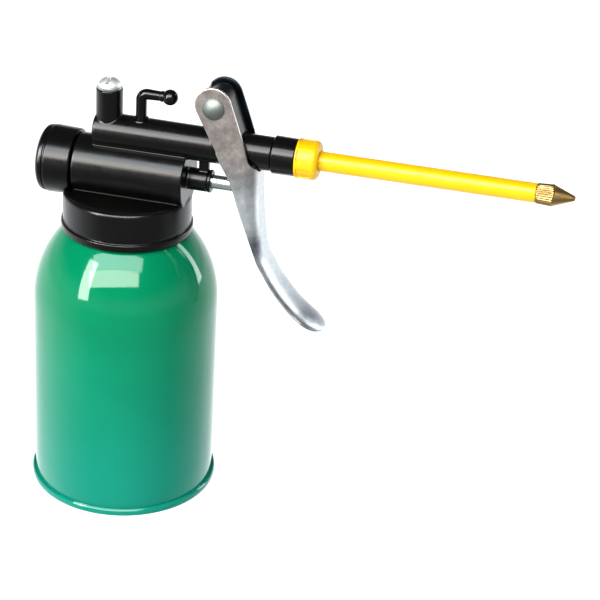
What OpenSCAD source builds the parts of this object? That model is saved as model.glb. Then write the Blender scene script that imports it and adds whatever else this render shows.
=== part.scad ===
// Lever oil can, a hand pump that moves oil from a round steel can out of a long thin spout.
// Squeezing the lever towards the can pushes a rod and piston back along a level barrel.
// Oil passes the outlet ball into the delivery tube above and on through the spout.
// A spring in the barrel sends the piston and the lever back and draws the next charge.
// Units are millimetres. The origin is the centre of the can's foot, +Z is up,
// +X runs along the spout and -Y is the near side, where the rivet's plain head is.

/* [Can] */
// Diameter of the straight can body
can_d = 65; // [50:0.5:90]
// Height where the shoulder starts to curve in
shoulder_z = 72; // [50:0.5:110]
// Radius of the shoulder's curve
shoulder_r = 38; // [25:0.5:60]
// Thickness of the can's sheet
sheet_t = 0.8; // [0.4:0.1:1.5]
// Diameter of the seamed foot
foot_d = 67.2; // [52:0.2:94]
// Height of the seamed foot
foot_h = 2.6; // [1.5:0.1:5]
// Diameter of the neck's outside
neck_d = 39.2; // [30:0.2:50]
// Height of the top of the neck
neck_z = 106.4; // [104:0.1:107]

/* [Pump head] */
// Diameter of the collar that screws on the neck
collar_d = 44.6; // [40:0.2:56]
// Height of the collar's lower edge
collar_z = 99.5; // [98.5:0.1:101]
// Height of the collar's flat top
collar_top = 113.3; // [112:0.1:114]
// Height of the pump barrel's centre line
pump_z = 120.6; // [119.5:0.1:122]
// Diameter of the pump barrel
barrel_d = 20.8; // [18:0.2:22]
// Diameter of the pump's bore
bore_d = 15; // [12:0.1:16]
// Position of the barrel's front face
barrel_x = 21.8; // [20:0.1:24]
// Diameter of the rear cap
cap_d = 23.6; // [22:0.1:24]
// Height of the delivery tube's centre line
tube_z = 133.85; // [133:0.05:135]
// Diameter of the delivery tube at the back
tube_back_d = 12.4; // [11:0.1:13]
// Diameter of the delivery tube at the front
tube_front_d = 11.6; // [11:0.1:13]
// Position of the front end of the delivery tube
tube_x = 51; // [46:0.5:60]

/* [Lever] */
// Position of the pivot along the spout
pivot_x = 31.5; // [29:0.1:34]
// Height of the pivot
pivot_z = 150; // [148:0.1:152]
// Thickness of the lever's steel
lever_t = 1.2; // [0.8:0.1:1.6]
// Outside width of the lever
lever_w = 15.4; // [15:0.1:17]
// Diameter of the rivet
rivet_d = 4; // [3:0.1:5]

/* [Spout] */
// Diameter of the spout tube
spout_d = 6.5; // [5:0.1:8]
// Diameter of the oil way
oilway_d = 3.8; // [2.5:0.1:4.2]
// Position of the front end of the spout tube
spout_x = 139.3; // [110:0.1:180]
// Length of the brass nozzle's knurled band
knurl_l = 5.6; // [4:0.1:8]
// Length of the brass nozzle's cone
cone_l = 7.1; // [5:0.1:10]
// Diameter of the outlet in the nozzle
orifice_d = 1.2; // [0.8:0.1:2]

/* [Plunger and valves] */
// Diameter of the piston rod
rod_d = 4.8; // [4:0.1:5]
// Position of the outlet valve along the spout
valve_x = -6.85; // [-8:0.05:-6]
// Position of the shut-off key along the spout
key_x = 4.4; // [3:0.1:6]
// Diameter of the key's stem
key_d = 3.7; // [3:0.1:4.4]
// Position of the suction tube along the spout
suction_x = -8; // [-10:0.5:-4]
// Diameter of the suction tube
suction_d = 5.6; // [4:0.1:6]

/* [Hidden] */
$fn = 64;
can_r = can_d / 2;
foot_r = foot_d / 2;
neck_r = neck_d / 2;
neck_in = neck_r - 1.4;
collar_r = collar_d / 2;
collar_in = neck_r + 0.6;
collar_roof = neck_z + 1.5;
lip_h = 2.8;
barrel_r = barrel_d / 2;
bore_r = bore_d / 2;
bore_front = barrel_x - 4;
cap_r = cap_d / 2;
cap_front = -17.8;
cap_back = -30;
spigot_r = 9;
spigot_back = -26;
rod_r = rod_d / 2;
gland_r = 3.85;
gland_x = 28.9;
bush_r = 3.1;
seat_x = 21.9;
rod_tip = 45.85;
piston_x = 12.6;
piston_l = 5;
oil_r = oilway_d / 2;
tube_back = -11.3;
valve_r = 2.6;
boss_r = 4.55;
boss_z = 149.4;
outlet_ball_r = 2.1;
outlet_seat_z = tube_z - 2.25;
outlet_hole_r = 1.4;
outlet_ball_z = outlet_seat_z + sqrt(outlet_ball_r * outlet_ball_r - outlet_hole_r * outlet_hole_r) + 0.02;
screw_foot_z = 143.5;
inlet_r = suction_d / 2 + 0.05;
inlet_boss_r = 5;
inlet_boss_z = 95;
inlet_seat_z = 99;
inlet_seat_h = 2;
inlet_ball_r = 2;
inlet_hole_r = 1.3;
inlet_ball_z = inlet_seat_z + inlet_seat_h + sqrt(inlet_ball_r * inlet_ball_r - inlet_hole_r * inlet_hole_r) + 0.02;
inlet_top = inlet_ball_z + inlet_ball_r + 1.5;
suction_foot = 9;
key_r = key_d / 2;
plug_r = 2.15;
key_neck_r = 1.5;
plug_z = tube_z - 3;
plug_top = tube_z + 3;
key_arm_z = 148.8;
key_bend = 2.1;
key_ball_x = 14.4;
sleeve_x = 59.1;
nose_x = 63;
nose_r = 4.9;
nut_x = 66.9;
spout_r = spout_d / 2;
flange_x = 63.8;
flange_t = 1.2;
knurl_x = spout_x + knurl_l;
tip_x = knurl_x + cone_l;
rivet_r = rivet_d / 2;
steel = [0.78, 0.79, 0.8];
black = [0.09, 0.09, 0.095];
green = [0.05, 0.6, 0.44];
yellow = [1, 0.86, 0.06];
brass = [0.8, 0.66, 0.36];
rubber = [0.13, 0.13, 0.13];

// Shapes used more than once

module xcyl(x0, x1, r, z) {
    translate([x0, 0, z])
        rotate([0, 90, 0])
            cylinder(r = r, h = x1 - x0);
}

module xcone(x0, x1, ra, rb, z) {
    translate([x0, 0, z])
        rotate([0, 90, 0])
            cylinder(r1 = ra, r2 = rb, h = x1 - x0);
}

module ycyl(x, z, r, y0, y1) {
    translate([x, y1, z])
        rotate([90, 0, 0])
            cylinder(r = r, h = y1 - y0);
}

module zcyl(x, r, z0, z1) {
    translate([x, 0, z0])
        cylinder(r = r, h = z1 - z0);
}

// A round bar of radius r turned up from a ring, used for the O-rings
module ring_seal(mean_r, r) {
    rotate_extrude()
        translate([mean_r, 0])
            circle(r = r, $fn = 24);
}

// A wound spring along +Z with closed ends
module coil(mean_r, wire_r, length, turns) {
    steps = 16;
    pitch = (length - 2 * wire_r) / turns;
    translate([0, 0, wire_r])
        linear_extrude(height = length - 2 * wire_r, twist = -360 * turns, slices = turns * steps, $fn = 8)
            translate([mean_r, 0])
                scale([1, 1 / cos(atan(pitch / (2 * PI * mean_r)))])
                    circle(r = wire_r, $fn = 8);
    for (z = [wire_r, length - wire_r])
        translate([0, 0, z])
            rotate_extrude($fn = 32)
                translate([mean_r, 0])
                    circle(r = wire_r, $fn = 8);
}

// Half profile of the shoulder, from the straight body up to the neck's ledge
function shoulder(t) = [for (i = [0 : 14])
    let (a = asin((99 - shoulder_z) / shoulder_r) * i / 14)
    [can_r - shoulder_r + (shoulder_r - t) * cos(a), shoulder_z + (shoulder_r - t) * sin(a)]];

// Can

module can_shell() {
    color(green)
    rotate_extrude($fn = 96)
        polygon(concat(
            [[can_r - sheet_t, foot_h], [can_r, foot_h]],
            shoulder(0),
            [[neck_r, 99.1], [neck_r, 101], [neck_r + 0.4, 101.4], [neck_r + 0.4, 101.8],
             [neck_r, 102.2], [neck_r, 103.4], [neck_r + 0.4, 103.8], [neck_r + 0.4, 104.2],
             [neck_r, 104.6], [neck_r, neck_z], [neck_in, neck_z], [neck_in, 98.6]],
            [for (i = [14 : -1 : 0]) shoulder(sheet_t)[i]]));
}

module can_base() {
    color(green)
    rotate_extrude($fn = 96)
        polygon([[0, 0], [can_r - 4, 0], [can_r - 3.5, 0.7], [can_r - 2.4, 0.7], [can_r - 1.8, 0],
                 [foot_r - 0.5, 0], [foot_r, 0.5], [foot_r, foot_h - 0.6],
                 [foot_r - 0.4, foot_h - 0.1], [can_r + 0.1, foot_h - 0.1],
                 [can_r + 0.1, foot_h - 0.02], [can_r - sheet_t, foot_h - 0.02],
                 [can_r - sheet_t - 0.6, 1.6], [can_r - 3.7, 1.5], [can_r - 4.2, 0.8], [0, 0.8]]);
}

module head_gasket() {
    color(rubber)
    difference() {
        zcyl(0, neck_r + 0.3, neck_z + 0.02, collar_roof);
        zcyl(0, neck_in - 0.4, neck_z - 1, collar_roof + 1);
    }
}

// Pump head

module collar() {
    edge = 1.6;
    difference() {
        rotate_extrude($fn = 96)
            polygon(concat(
                [[0, collar_z], [collar_r + 0.3, collar_z], [collar_r + 0.6, collar_z + 0.4],
                 [collar_r + 0.6, collar_z + lip_h - 0.4], [collar_r + 0.3, collar_z + lip_h],
                 [collar_r - 0.3, collar_z + lip_h], [collar_r - 0.3, collar_z + lip_h + 0.4],
                 [collar_r, collar_z + lip_h + 0.6]],
                [for (a = [0 : 15 : 90])
                    [collar_r - edge + edge * cos(a), collar_top - edge + edge * sin(a)]],
                [[0, collar_top]]));
        zcyl(0, collar_in, collar_z - 1, collar_roof);
        xcyl(-32, cap_front + 0.35, cap_r + 0.35, pump_z);
    }
}

module lug() {
    translate([0, 6, 0])
        rotate([90, 0, 0])
            linear_extrude(height = 12)
                polygon([[pivot_x - 4.6, pivot_z - 1], [pivot_x + 4.7, pivot_z + 1],
                         [pivot_x + 10, tube_z + 2], [pivot_x - 0.4, tube_z + 2]]);
    ycyl(pivot_x, pivot_z, 4.8, -6, 6);
}

module pump_head() {
    color(black)
    difference() {
        union() {
            collar();
            xcyl(cap_front + 0.3, barrel_x, barrel_r, pump_z);
            xcyl(spigot_back, cap_front + 0.4, spigot_r, pump_z);
            xcyl(barrel_x - 1, gland_x, gland_r, pump_z);
            xcone(tube_back, tube_x, tube_back_d / 2, tube_front_d / 2, tube_z);
            xcyl(tube_x - 1, tube_x + 5, 4.6, tube_z);
            translate([25.4, -1.3, pump_z + 2])
                cube([3.4, 2.6, 8]);
            zcyl(valve_x, boss_r, tube_z, boss_z);
            zcyl(key_x, plug_r + 0.7, tube_z, tube_z + 5.9);
            zcyl(suction_x, inlet_boss_r, inlet_boss_z, collar_top);
            lug();
        }
        xcyl(spigot_back - 1, bore_front, bore_r, pump_z);
        xcyl(bore_front - 1, gland_x + 1, bush_r, pump_z);
        xcyl(valve_x, tube_x + 6, oil_r, tube_z);
        zcyl(valve_x, valve_r, outlet_seat_z, boss_z + 1);
        zcyl(valve_x, outlet_hole_r, pump_z, outlet_seat_z + 1);
        zcyl(key_x, plug_r + 0.05, plug_z - 0.1, tube_z + 8);
        zcyl(key_x, plug_r + 0.3, tube_z + 5.9, tube_z + 8);
        zcyl(suction_x, inlet_r, inlet_boss_z - 1, inlet_top);
        zcyl(suction_x, 1.4, inlet_top - 1, pump_z);
        translate([suction_x - 2.6, -0.7, inlet_top - 1])
            cube([5.2, 1.4, 2.2]);
        ycyl(pivot_x, pivot_z, rivet_r + 0.05, -8, 8);
    }
}

module rear_cap() {
    color(black)
    difference() {
        translate([cap_back, 0, pump_z])
            rotate([0, 90, 0])
                rotate_extrude($fn = 96)
                    polygon([[0, 0], [cap_r - 1.2, 0], [cap_r - 0.35, 0.3], [cap_r, 1],
                             [cap_r, 2.5], [cap_r - 0.5, 2.7], [cap_r - 0.5, 3], [cap_r - 0.05, 3.2],
                             [cap_r - 0.4, cap_front - cap_back - 0.4],
                             [cap_r - 0.8, cap_front - cap_back], [0, cap_front - cap_back]]);
        xcyl(-27.2, cap_front + 1, spigot_r + 0.1, pump_z);
    }
}

module rear_cap_seal() {
    color(rubber)
    difference() {
        xcyl(-27.15, spigot_back - 0.02, spigot_r - 0.1, pump_z);
        xcyl(-28, spigot_back + 1, bore_r, pump_z);
    }
}

module gland_bush() {
    color(black)
    difference() {
        union() {
            xcyl(23.5, gland_x + 0.5, bush_r - 0.02, pump_z);
            xcyl(gland_x + 0.02, gland_x + 1.2, gland_r + 0.15, pump_z);
        }
        xcyl(22, gland_x + 2, rod_r + 0.05, pump_z);
    }
}

module rod_seal() {
    color(rubber)
    difference() {
        xcyl(seat_x - 1.4, 23.4, bush_r - 0.02, pump_z);
        xcyl(seat_x - 3, 24, rod_r + 0.03, pump_z);
    }
}

// Plunger

module piston() {
    color(brass)
    difference() {
        xcyl(piston_x, piston_x + piston_l, bore_r - 0.06, pump_z);
        translate([piston_x + 1.6, 0, pump_z])
            rotate([0, 90, 0])
                difference() {
                    cylinder(r = bore_r + 1, h = 1.8);
                    translate([0, 0, -1])
                        cylinder(r = bore_r - 1.75, h = 4);
                }
        xcyl(piston_x - 1, piston_x + piston_l + 1, rod_r - 0.35, pump_z);
    }
}

module piston_seal() {
    color(rubber)
    translate([piston_x + 2.5, 0, pump_z])
        rotate([0, 90, 0])
            ring_seal(bore_r - 0.88, 0.85);
}

module piston_nut() {
    color(steel)
    translate([piston_x - 2.4, 0, pump_z])
        rotate([0, 90, 0])
            difference() {
                cylinder(r = 3.9, h = 2.38, $fn = 6);
                translate([0, 0, -1])
                    cylinder(r = rod_r - 0.35, h = 5);
            }
}

module piston_rod() {
    color(steel)
    union() {
        xcyl(piston_x - 3.2, piston_x + piston_l + 0.1, rod_r - 0.4, pump_z);
        xcyl(piston_x + piston_l + 0.02, rod_tip - rod_r, rod_r, pump_z);
        translate([rod_tip - rod_r, 0, pump_z])
            sphere(r = rod_r);
    }
}

module return_spring() {
    color(steel)
    translate([-27.15, 0, pump_z])
        rotate([0, 90, 0])
            coil(5.4, 0.6, piston_x + 27.1, 9);
}

// Suction side

module suction_tube() {
    color([0.85, 0.86, 0.84])
    difference() {
        zcyl(suction_x, suction_d / 2, suction_foot, inlet_seat_z - 0.02);
        zcyl(suction_x, suction_d / 2 - 0.9, suction_foot - 1, inlet_seat_z + 1);
    }
}

module strainer() {
    color(brass)
    difference() {
        zcyl(suction_x, 4.4, 4, 13);
        zcyl(suction_x, suction_d / 2 + 0.05, suction_foot - 0.05, 14);
        zcyl(suction_x, 3.6, 4.8, suction_foot - 0.8);
        zcyl(suction_x, 1.9, 8, 10);
        for (a = [0 : 45 : 135])
            translate([suction_x, 0, 6.5])
                rotate([0, 0, a])
                    cube([12, 1, 2.2], center = true);
    }
}

module inlet_seat() {
    color(brass)
    difference() {
        zcyl(suction_x, inlet_r - 0.02, inlet_seat_z, inlet_seat_z + inlet_seat_h);
        zcyl(suction_x, inlet_hole_r, inlet_seat_z - 1, inlet_seat_z + 4);
    }
}

module inlet_ball() {
    color(steel)
    translate([suction_x, 0, inlet_ball_z])
        sphere(r = inlet_ball_r);
}

// Delivery side

module outlet_ball() {
    color(steel)
    translate([valve_x, 0, outlet_ball_z])
        sphere(r = outlet_ball_r);
}

module outlet_spring() {
    spring_z = outlet_ball_z + outlet_ball_r - 0.4;
    color(steel)
    translate([valve_x, 0, spring_z])
        coil(1.7, 0.25, screw_foot_z - spring_z - 0.02, 6);
}

module valve_screw() {
    head_r = 3.95;
    head_z = boss_z + 0.52;
    dome_r = 4.9;
    color(steel)
    difference() {
        union() {
            zcyl(valve_x, valve_r - 0.05, screw_foot_z, head_z + 0.5);
            zcyl(valve_x, head_r, head_z, head_z + 1);
            intersection() {
                translate([valve_x, 0, head_z + 3.1 - dome_r])
                    sphere(r = dome_r);
                zcyl(valve_x, head_r, head_z + 0.5, head_z + 4);
            }
        }
        translate([valve_x - 0.6, -6, head_z + 1.7])
            cube([1.2, 12, 4]);
    }
}

module valve_washer() {
    color(steel)
    difference() {
        zcyl(valve_x, 4.2, boss_z + 0.02, boss_z + 0.5);
        zcyl(valve_x, valve_r + 0.05, boss_z - 1, boss_z + 2);
    }
}

module shutoff_key() {
    color(black)
    union() {
        difference() {
            zcyl(key_x, plug_r, plug_z, plug_top);
            xcyl(key_x - 4, key_x + 4, oil_r - 0.4, tube_z);
        }
        zcyl(key_x, key_neck_r, plug_top - 1, plug_top + 2);
        zcyl(key_x, key_r, plug_top + 1.55, key_arm_z - key_bend);
        translate([key_x + key_bend, 0, key_arm_z - key_bend])
            rotate([-90, 0, 0])
                intersection() {
                    rotate_extrude()
                        translate([key_bend, 0])
                            circle(r = key_r, $fn = 32);
                    translate([-8, -8, -8])
                        cube([8, 8, 16]);
                }
        xcone(key_x + key_bend, key_ball_x - 2.1, key_r, 1.3, key_arm_z);
        xcyl(key_ball_x - 2.2, key_ball_x, 1.3, key_arm_z);
        translate([key_ball_x, 0, key_arm_z])
            sphere(r = 2.7);
    }
}

module key_seal() {
    color(rubber)
    difference() {
        zcyl(key_x, plug_r, plug_top + 0.03, plug_top + 1.5);
        zcyl(key_x, key_neck_r + 0.02, plug_top - 1, plug_top + 3);
    }
}

module key_gland() {
    color(steel)
    difference() {
        union() {
            zcyl(key_x, plug_r, plug_top + 1.52, tube_z + 5.9);
            zcyl(key_x, plug_r + 0.2, tube_z + 5.92, tube_z + 6.4);
            zcyl(key_x, plug_r - 0.05, tube_z + 5.5, tube_z + 6.2);
        }
        zcyl(key_x, key_r + 0.05, plug_top, tube_z + 8);
    }
}

// Lever: a bent steel strip, a U channel round the tube that fades into a shallow curved grip

// Outside line of the channel's web from top to tip, with the depth of the legs at each place
web = [[46.4, 135, 13.8], [46.8, 130.2, 11.8], [47, 126, 9.9], [47.2, 122, 8.3], [47.5, 117, 6.9],
    [47.9, 112, 5.5], [48.4, 107.5, 4.3], [49, 103.5, 3.4], [49.7, 99.8, 2.7], [50.8, 96.1, 2.3],
    [52.7, 92.6, 2.1], [54.9, 89, 2.1], [57.5, 85.5, 2.1], [60.4, 82.1, 2.1], [63.7, 78.8, 2.1],
    [67.1, 76.1, 2.1], [69.4, 74.5, 2.05], [71.1, 73.4, 1.95], [72.3, 72.65, 1.8],
    [72.95, 72.25, 1.7], [73.35, 72, 1.6]];
tip_half = [7.7, 7.2, 6.1, 4.7, 3.4, 2.2];
arc_steps = 7;

// Half width at station i, full until the round tip
function half_at(i) = let (k = i - (len(web) - 6)) k < 0 ? lever_w / 2 : tip_half[k] * lever_w / 15.4;
// Direction into the channel at station i
function inward(i) = let (p = web[max(i - 1, 0)], q = web[min(i + 1, len(web) - 1)],
    d = [q[0] - p[0], q[1] - p[1]]) [d[1], -d[0]] / norm(d);
// Corner radius along the depth and across the width
function corner_n(i) = min(4, web[i][2] - 0.15);
function corner_y(i) = let (r = corner_n(i)) min(r < 4 ? 4 + (4 - r) * 1.55 : 4, half_at(i) - 0.2);

// A point of the section: o = 0 on the outside, o = lever_t on the inside
function on_section(i, n, y) = let (w = web[i], d = inward(i)) [w[0] + n * d[0], y, w[1] + n * d[1]];
function quarter(i, o, s) = let (rn = corner_n(i), ry = corner_y(i), h = half_at(i))
    [for (k = [0 : arc_steps]) let (a = 90 * k / arc_steps)
        on_section(i, rn - (rn - o) * sin(a), s * (h - ry + (ry - o) * cos(a)))];
function side_line(i, o) = let (h = half_at(i), q = quarter(i, o, 1))
    concat([on_section(i, web[i][2], -(h - o))], quarter(i, o, -1),
           [for (k = [arc_steps : -1 : 0]) q[k]], [on_section(i, web[i][2], h - o)]);
function section(i) = let (inner = side_line(i, lever_t))
    concat(side_line(i, 0), [for (k = [len(inner) - 1 : -1 : 0]) inner[k]]);

module channel() {
    rings = [for (i = [0 : len(web) - 1]) section(i)];
    n = len(rings[0]);
    m = n / 2;
    pts = [for (r = rings) for (p = r) p];
    last = (len(web) - 1) * n;
    polyhedron(points = pts, convexity = 6, faces = concat(
        [for (k = [0 : m - 2]) [n - 1 - k, n - 2 - k, k + 1, k]],
        [for (k = [0 : m - 2]) [last + k, last + k + 1, last + n - 2 - k, last + n - 1 - k]],
        [for (i = [0 : len(web) - 2]) for (k = [0 : n - 1]) let (j = (k + 1) % n)
            [(i + 1) * n + k, i * n + k, i * n + j]],
        [for (i = [0 : len(web) - 2]) for (k = [0 : n - 1]) let (j = (k + 1) % n)
            [(i + 1) * n + j, (i + 1) * n + k, i * n + j]]));
}

module lever() {
    half = lever_w / 2;
    color(steel)
    difference() {
        union() {
            channel();
            for (y = [-half + lever_t, half])
                translate([0, y, 0])
                    rotate([90, 0, 0])
                        linear_extrude(height = lever_t) {
                            polygon([[pivot_x - 5.9, pivot_z - 0.9], [28.1, 143.6], [31.4, 137.2],
                                     [33, 134.2], [43, 134.2], [43, 136], [42.2, 138.8],
                                     [40.5, 143.8], [pivot_x + 5.9, pivot_z + 2.5]]);
                            translate([pivot_x - 0.2, pivot_z + 1])
                                circle(r = 6.25);
                        }
        }
        translate([0, half + 1, 0])
            rotate([90, 0, 0])
                linear_extrude(height = lever_w + 2)
                    polygon([[43.4, 134.6], [43.9, 132.6], [44.9, 131.2], [46.2, 130.2],
                             [48.2, 129.6], [60, 129.6], [60, 140], [43, 140], [43, 136]]);
        xcyl(40, 60, 6.4, tube_z);
        ycyl(pivot_x, pivot_z, rivet_r + 0.05, -half - 1, half + 1);
    }
}

module pivot_rivet() {
    half = lever_w / 2;
    dome = 4;
    color(steel)
    union() {
        ycyl(pivot_x, pivot_z, rivet_r, -half - 0.6, half + 1.1);
        for (s = [-1, 1])
            intersection() {
                translate([pivot_x, s * (half + 0.05 + (s > 0 ? 0.5 : 0) + 1.7 - dome), pivot_z])
                    sphere(r = dome);
                translate([pivot_x, s * (half + 0.05 + (s > 0 ? 0.5 : 0) + 2), pivot_z])
                    cube([9, 4, 9], center = true);
            }
    }
}

module rivet_washer() {
    half = lever_w / 2;
    color(steel)
    difference() {
        ycyl(pivot_x, pivot_z, 4.3, half + 0.05, half + 0.5);
        ycyl(pivot_x, pivot_z, rivet_r + 0.03, half - 1, half + 2);
    }
}

// Spout

module front_sleeve() {
    color(black)
    difference() {
        union() {
            xcone(tube_x + 0.02, sleeve_x, 6.48, 6.35, tube_z);
            xcyl(sleeve_x - 1, nose_x, nose_r, tube_z);
        }
        xcyl(tube_x - 1, tube_x + 5.2, 4.65, tube_z);
        xcyl(tube_x, nose_x + 1, oil_r, tube_z);
    }
}

module spout_seal() {
    color(rubber)
    difference() {
        xcyl(nose_x + 0.02, flange_x - 0.02, nose_r - 0.2, tube_z);
        xcyl(nose_x - 1, flange_x + 1, oil_r, tube_z);
    }
}

module spout_nut() {
    outer = 6.65;
    color(yellow)
    difference() {
        union() {
            translate([sleeve_x + 0.05, 0, tube_z])
                rotate([0, 90, 0])
                    rotate_extrude($fn = 96)
                        polygon(concat([[0, 0], [outer - 0.15, 0], [outer, 0.2]],
                            [for (a = [0 : 15 : 90])
                                [outer - 2 + 2 * cos(a), nut_x - sleeve_x - 2.05 + 2 * sin(a)]],
                            [[0, nut_x - sleeve_x - 0.05]]));
        }
        xcyl(sleeve_x - 1, flange_x + flange_t + 0.05, nose_r + 0.1, tube_z);
        xcyl(sleeve_x, nut_x + 1, spout_r + 0.1, tube_z);
        for (a = [30 : 60 : 330])
            translate([sleeve_x + 0.7, 0, tube_z])
                rotate([a, 0, 0])
                    translate([0, -0.35, outer - 0.25])
                        cube([4.6, 0.7, 1]);
    }
}

module spout_tube() {
    color(yellow)
    difference() {
        union() {
            xcyl(flange_x, flange_x + flange_t, nose_r - 0.1, tube_z);
            xcone(flange_x + 0.5, spout_x, spout_r, spout_r - 0.05, tube_z);
        }
        xcyl(flange_x - 1, spout_x + 1, oil_r, tube_z);
    }
}

module nozzle() {
    flutes = 24;
    color(brass)
    difference() {
        union() {
            xcyl(spout_x - 5, spout_x + 1, oil_r - 0.05, tube_z);
            xcone(spout_x + 0.02, knurl_x, spout_r + 0.1, spout_r + 0.4, tube_z);
            xcone(knurl_x - 0.01, tip_x, spout_r + 0.25, 0.85, tube_z);
        }
        xcyl(spout_x - 6, knurl_x + 2, 1.1, tube_z);
        xcyl(spout_x, tip_x + 1, orifice_d / 2, tube_z);
        for (i = [0 : flutes - 1])
            translate([spout_x, 0, tube_z])
                rotate([i * 360 / flutes, 0, 0])
                    translate([0.4, 0, spout_r + 0.28])
                        rotate([0, 87, 0])
                            cylinder(r = 0.28, h = knurl_l - 0.9, $fn = 4);
    }
}

can_shell();
can_base();
head_gasket();
pump_head();
rear_cap();
rear_cap_seal();
return_spring();
piston();
piston_seal();
piston_nut();
piston_rod();
rod_seal();
gland_bush();
suction_tube();
strainer();
inlet_seat();
inlet_ball();
outlet_ball();
outlet_spring();
valve_screw();
valve_washer();
shutoff_key();
key_seal();
key_gland();
lever();
pivot_rivet();
rivet_washer();
front_sleeve();
spout_seal();
spout_nut();
spout_tube();
nozzle();
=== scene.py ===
"""Looks of the lever oil can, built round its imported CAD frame. Lengths in the tables are millimetres."""
import math

import bpy
import numpy as np
import openvdb
from mathutils import Matrix, Quaternion, Vector


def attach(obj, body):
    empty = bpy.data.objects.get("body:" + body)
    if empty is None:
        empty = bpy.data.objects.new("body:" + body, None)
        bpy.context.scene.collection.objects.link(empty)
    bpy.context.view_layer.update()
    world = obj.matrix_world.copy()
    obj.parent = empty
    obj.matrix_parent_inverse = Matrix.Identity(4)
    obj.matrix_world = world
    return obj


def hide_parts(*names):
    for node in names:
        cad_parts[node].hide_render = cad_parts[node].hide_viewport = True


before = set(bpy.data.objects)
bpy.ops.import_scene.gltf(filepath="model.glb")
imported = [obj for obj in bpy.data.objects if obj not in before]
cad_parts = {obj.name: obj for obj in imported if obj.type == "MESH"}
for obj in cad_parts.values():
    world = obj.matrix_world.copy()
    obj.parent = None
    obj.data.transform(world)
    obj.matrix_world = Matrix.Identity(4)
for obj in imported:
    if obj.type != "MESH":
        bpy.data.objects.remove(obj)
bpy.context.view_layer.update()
scene = bpy.context.scene
MM = 0.001

# ------------------------------------------------------------------ measures shared with the CAD
PUMP_Z, TUBE_Z = 120.6, 133.85
CAN_R, FOOT_R, SHOULDER_Z, SHOULDER_R = 32.5, 33.6, 72.0, 38.0
NECK_R, NECK_IN, NECK_Z = 19.6, 18.2, 106.4
VALVE_X, KEY_X, SUCTION_X = -6.85, 4.4, -8.0
BOSS_Z = 149.4
PIVOT = (31.5, 150.0)
LEVER_W, LEVER_T = 15.4, 1.2
PIN_R = 2.05
TUBE_TOP = 139.75
BLACK_TONE = 0.002


# ------------------------------------------------------------------ mesh helpers
def put(name, verts, faces, material, body, replaces=(), slot=None, weighted=False):
    """A smooth mesh in the row frame from points in millimetres, riding on a body."""
    mesh = bpy.data.meshes.new(name)
    verts = np.asarray(verts, np.float32) * MM
    if isinstance(faces, np.ndarray):
        count, size = faces.shape
        mesh.vertices.add(len(verts))
        mesh.vertices.foreach_set("co", verts.ravel())
        mesh.loops.add(count * size)
        mesh.loops.foreach_set("vertex_index", faces.astype(np.int32).ravel())
        mesh.polygons.add(count)
        mesh.polygons.foreach_set("loop_start", np.arange(0, count * size, size, dtype=np.int32))
        mesh.polygons.foreach_set("loop_total", np.full(count, size, np.int32))
    else:
        mesh.from_pydata(verts.tolist(), [], faces)
    mesh.update()
    mesh.validate()
    mesh.shade_smooth()
    o = bpy.data.objects.new(name, mesh)
    scene.collection.objects.link(o)
    mesh.materials.append(material)
    if weighted:
        m = o.modifiers.new("even shading", "WEIGHTED_NORMAL")
        m.mode = "FACE_AREA"
        m.weight = 100
    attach(o, body)
    if replaces:
        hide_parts(*replaces)
    return o


def rounded(points, steps=4):
    """A profile whose corners (a, r, radius) are rounded; plain (a, r) corners stay sharp."""
    out = []
    for i, p in enumerate(points):
        radius = p[2] if len(p) > 2 else 0.0
        here = np.array(p[:2], float)
        if radius <= 0 or i in (0, len(points) - 1):
            out.append(here)
            continue
        before, after = np.array(points[i - 1][:2], float), np.array(points[i + 1][:2], float)
        u, v = before - here, after - here
        lu, lv = np.linalg.norm(u), np.linalg.norm(v)
        u, v = u / lu, v / lv
        if np.linalg.norm(u + v) < 1e-4:
            out.append(here)
            continue
        half = math.acos(max(-1, min(1, float(u @ v)))) / 2
        cut = min(radius / math.tan(half), 0.49 * lu, 0.49 * lv)
        r = cut * math.tan(half)
        centre = here + (u + v) / np.linalg.norm(u + v) * (r / math.sin(half))
        a, b = here + u * cut - centre, here + v * cut - centre
        turn = math.atan2(a[0] * b[1] - a[1] * b[0], a @ b)
        for k in range(steps + 1):
            t = turn * k / steps
            out.append(centre + [a[0] * math.cos(t) - a[1] * math.sin(t),
                                 a[0] * math.sin(t) + a[1] * math.cos(t)])
    return out


def lathe(profile, segments=128, axis="x", centre=(0, 0, 0), steps=4, radius_of=None, closed=False):
    """Points and faces of a profile turned about an axis. radius_of(a, r, angle) may flute it."""
    prof = np.array(rounded(profile, steps))
    ring = np.linspace(0, 2 * np.pi, segments, endpoint=False)
    verts, rows = [], []
    for a, r in prof:
        if r < 1e-6:
            rows.append([len(verts)])
            angles, radii = np.array([0.0]), np.array([0.0])
        else:
            rows.append(list(range(len(verts), len(verts) + segments)))
            angles = ring
            radii = radius_of(a, r, ring) if radius_of else np.full(segments, r)
        c, s = np.cos(angles) * radii, np.sin(angles) * radii
        if axis == "x":
            pts = np.stack([np.full_like(c, a), c, s], 1)
        elif axis == "y":
            pts = np.stack([s, np.full_like(c, a), c], 1)
        else:
            pts = np.stack([c, s, np.full_like(c, a)], 1)
        verts.extend((pts + np.array(centre)).tolist())
    faces = []
    pairs = list(zip(rows[:-1], rows[1:])) + ([(rows[-1], rows[0])] if closed else [])
    for p, q in pairs:
        for i in range(segments):
            j = (i + 1) % segments
            if len(p) == 1 and len(q) == 1:
                continue
            if len(p) == 1:
                faces.append((p[0], q[j], q[i]))
            elif len(q) == 1:
                faces.append((p[i], p[j], q[0]))
            else:
                faces.append((p[i], p[j], q[j], q[i]))
    return verts, faces


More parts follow.
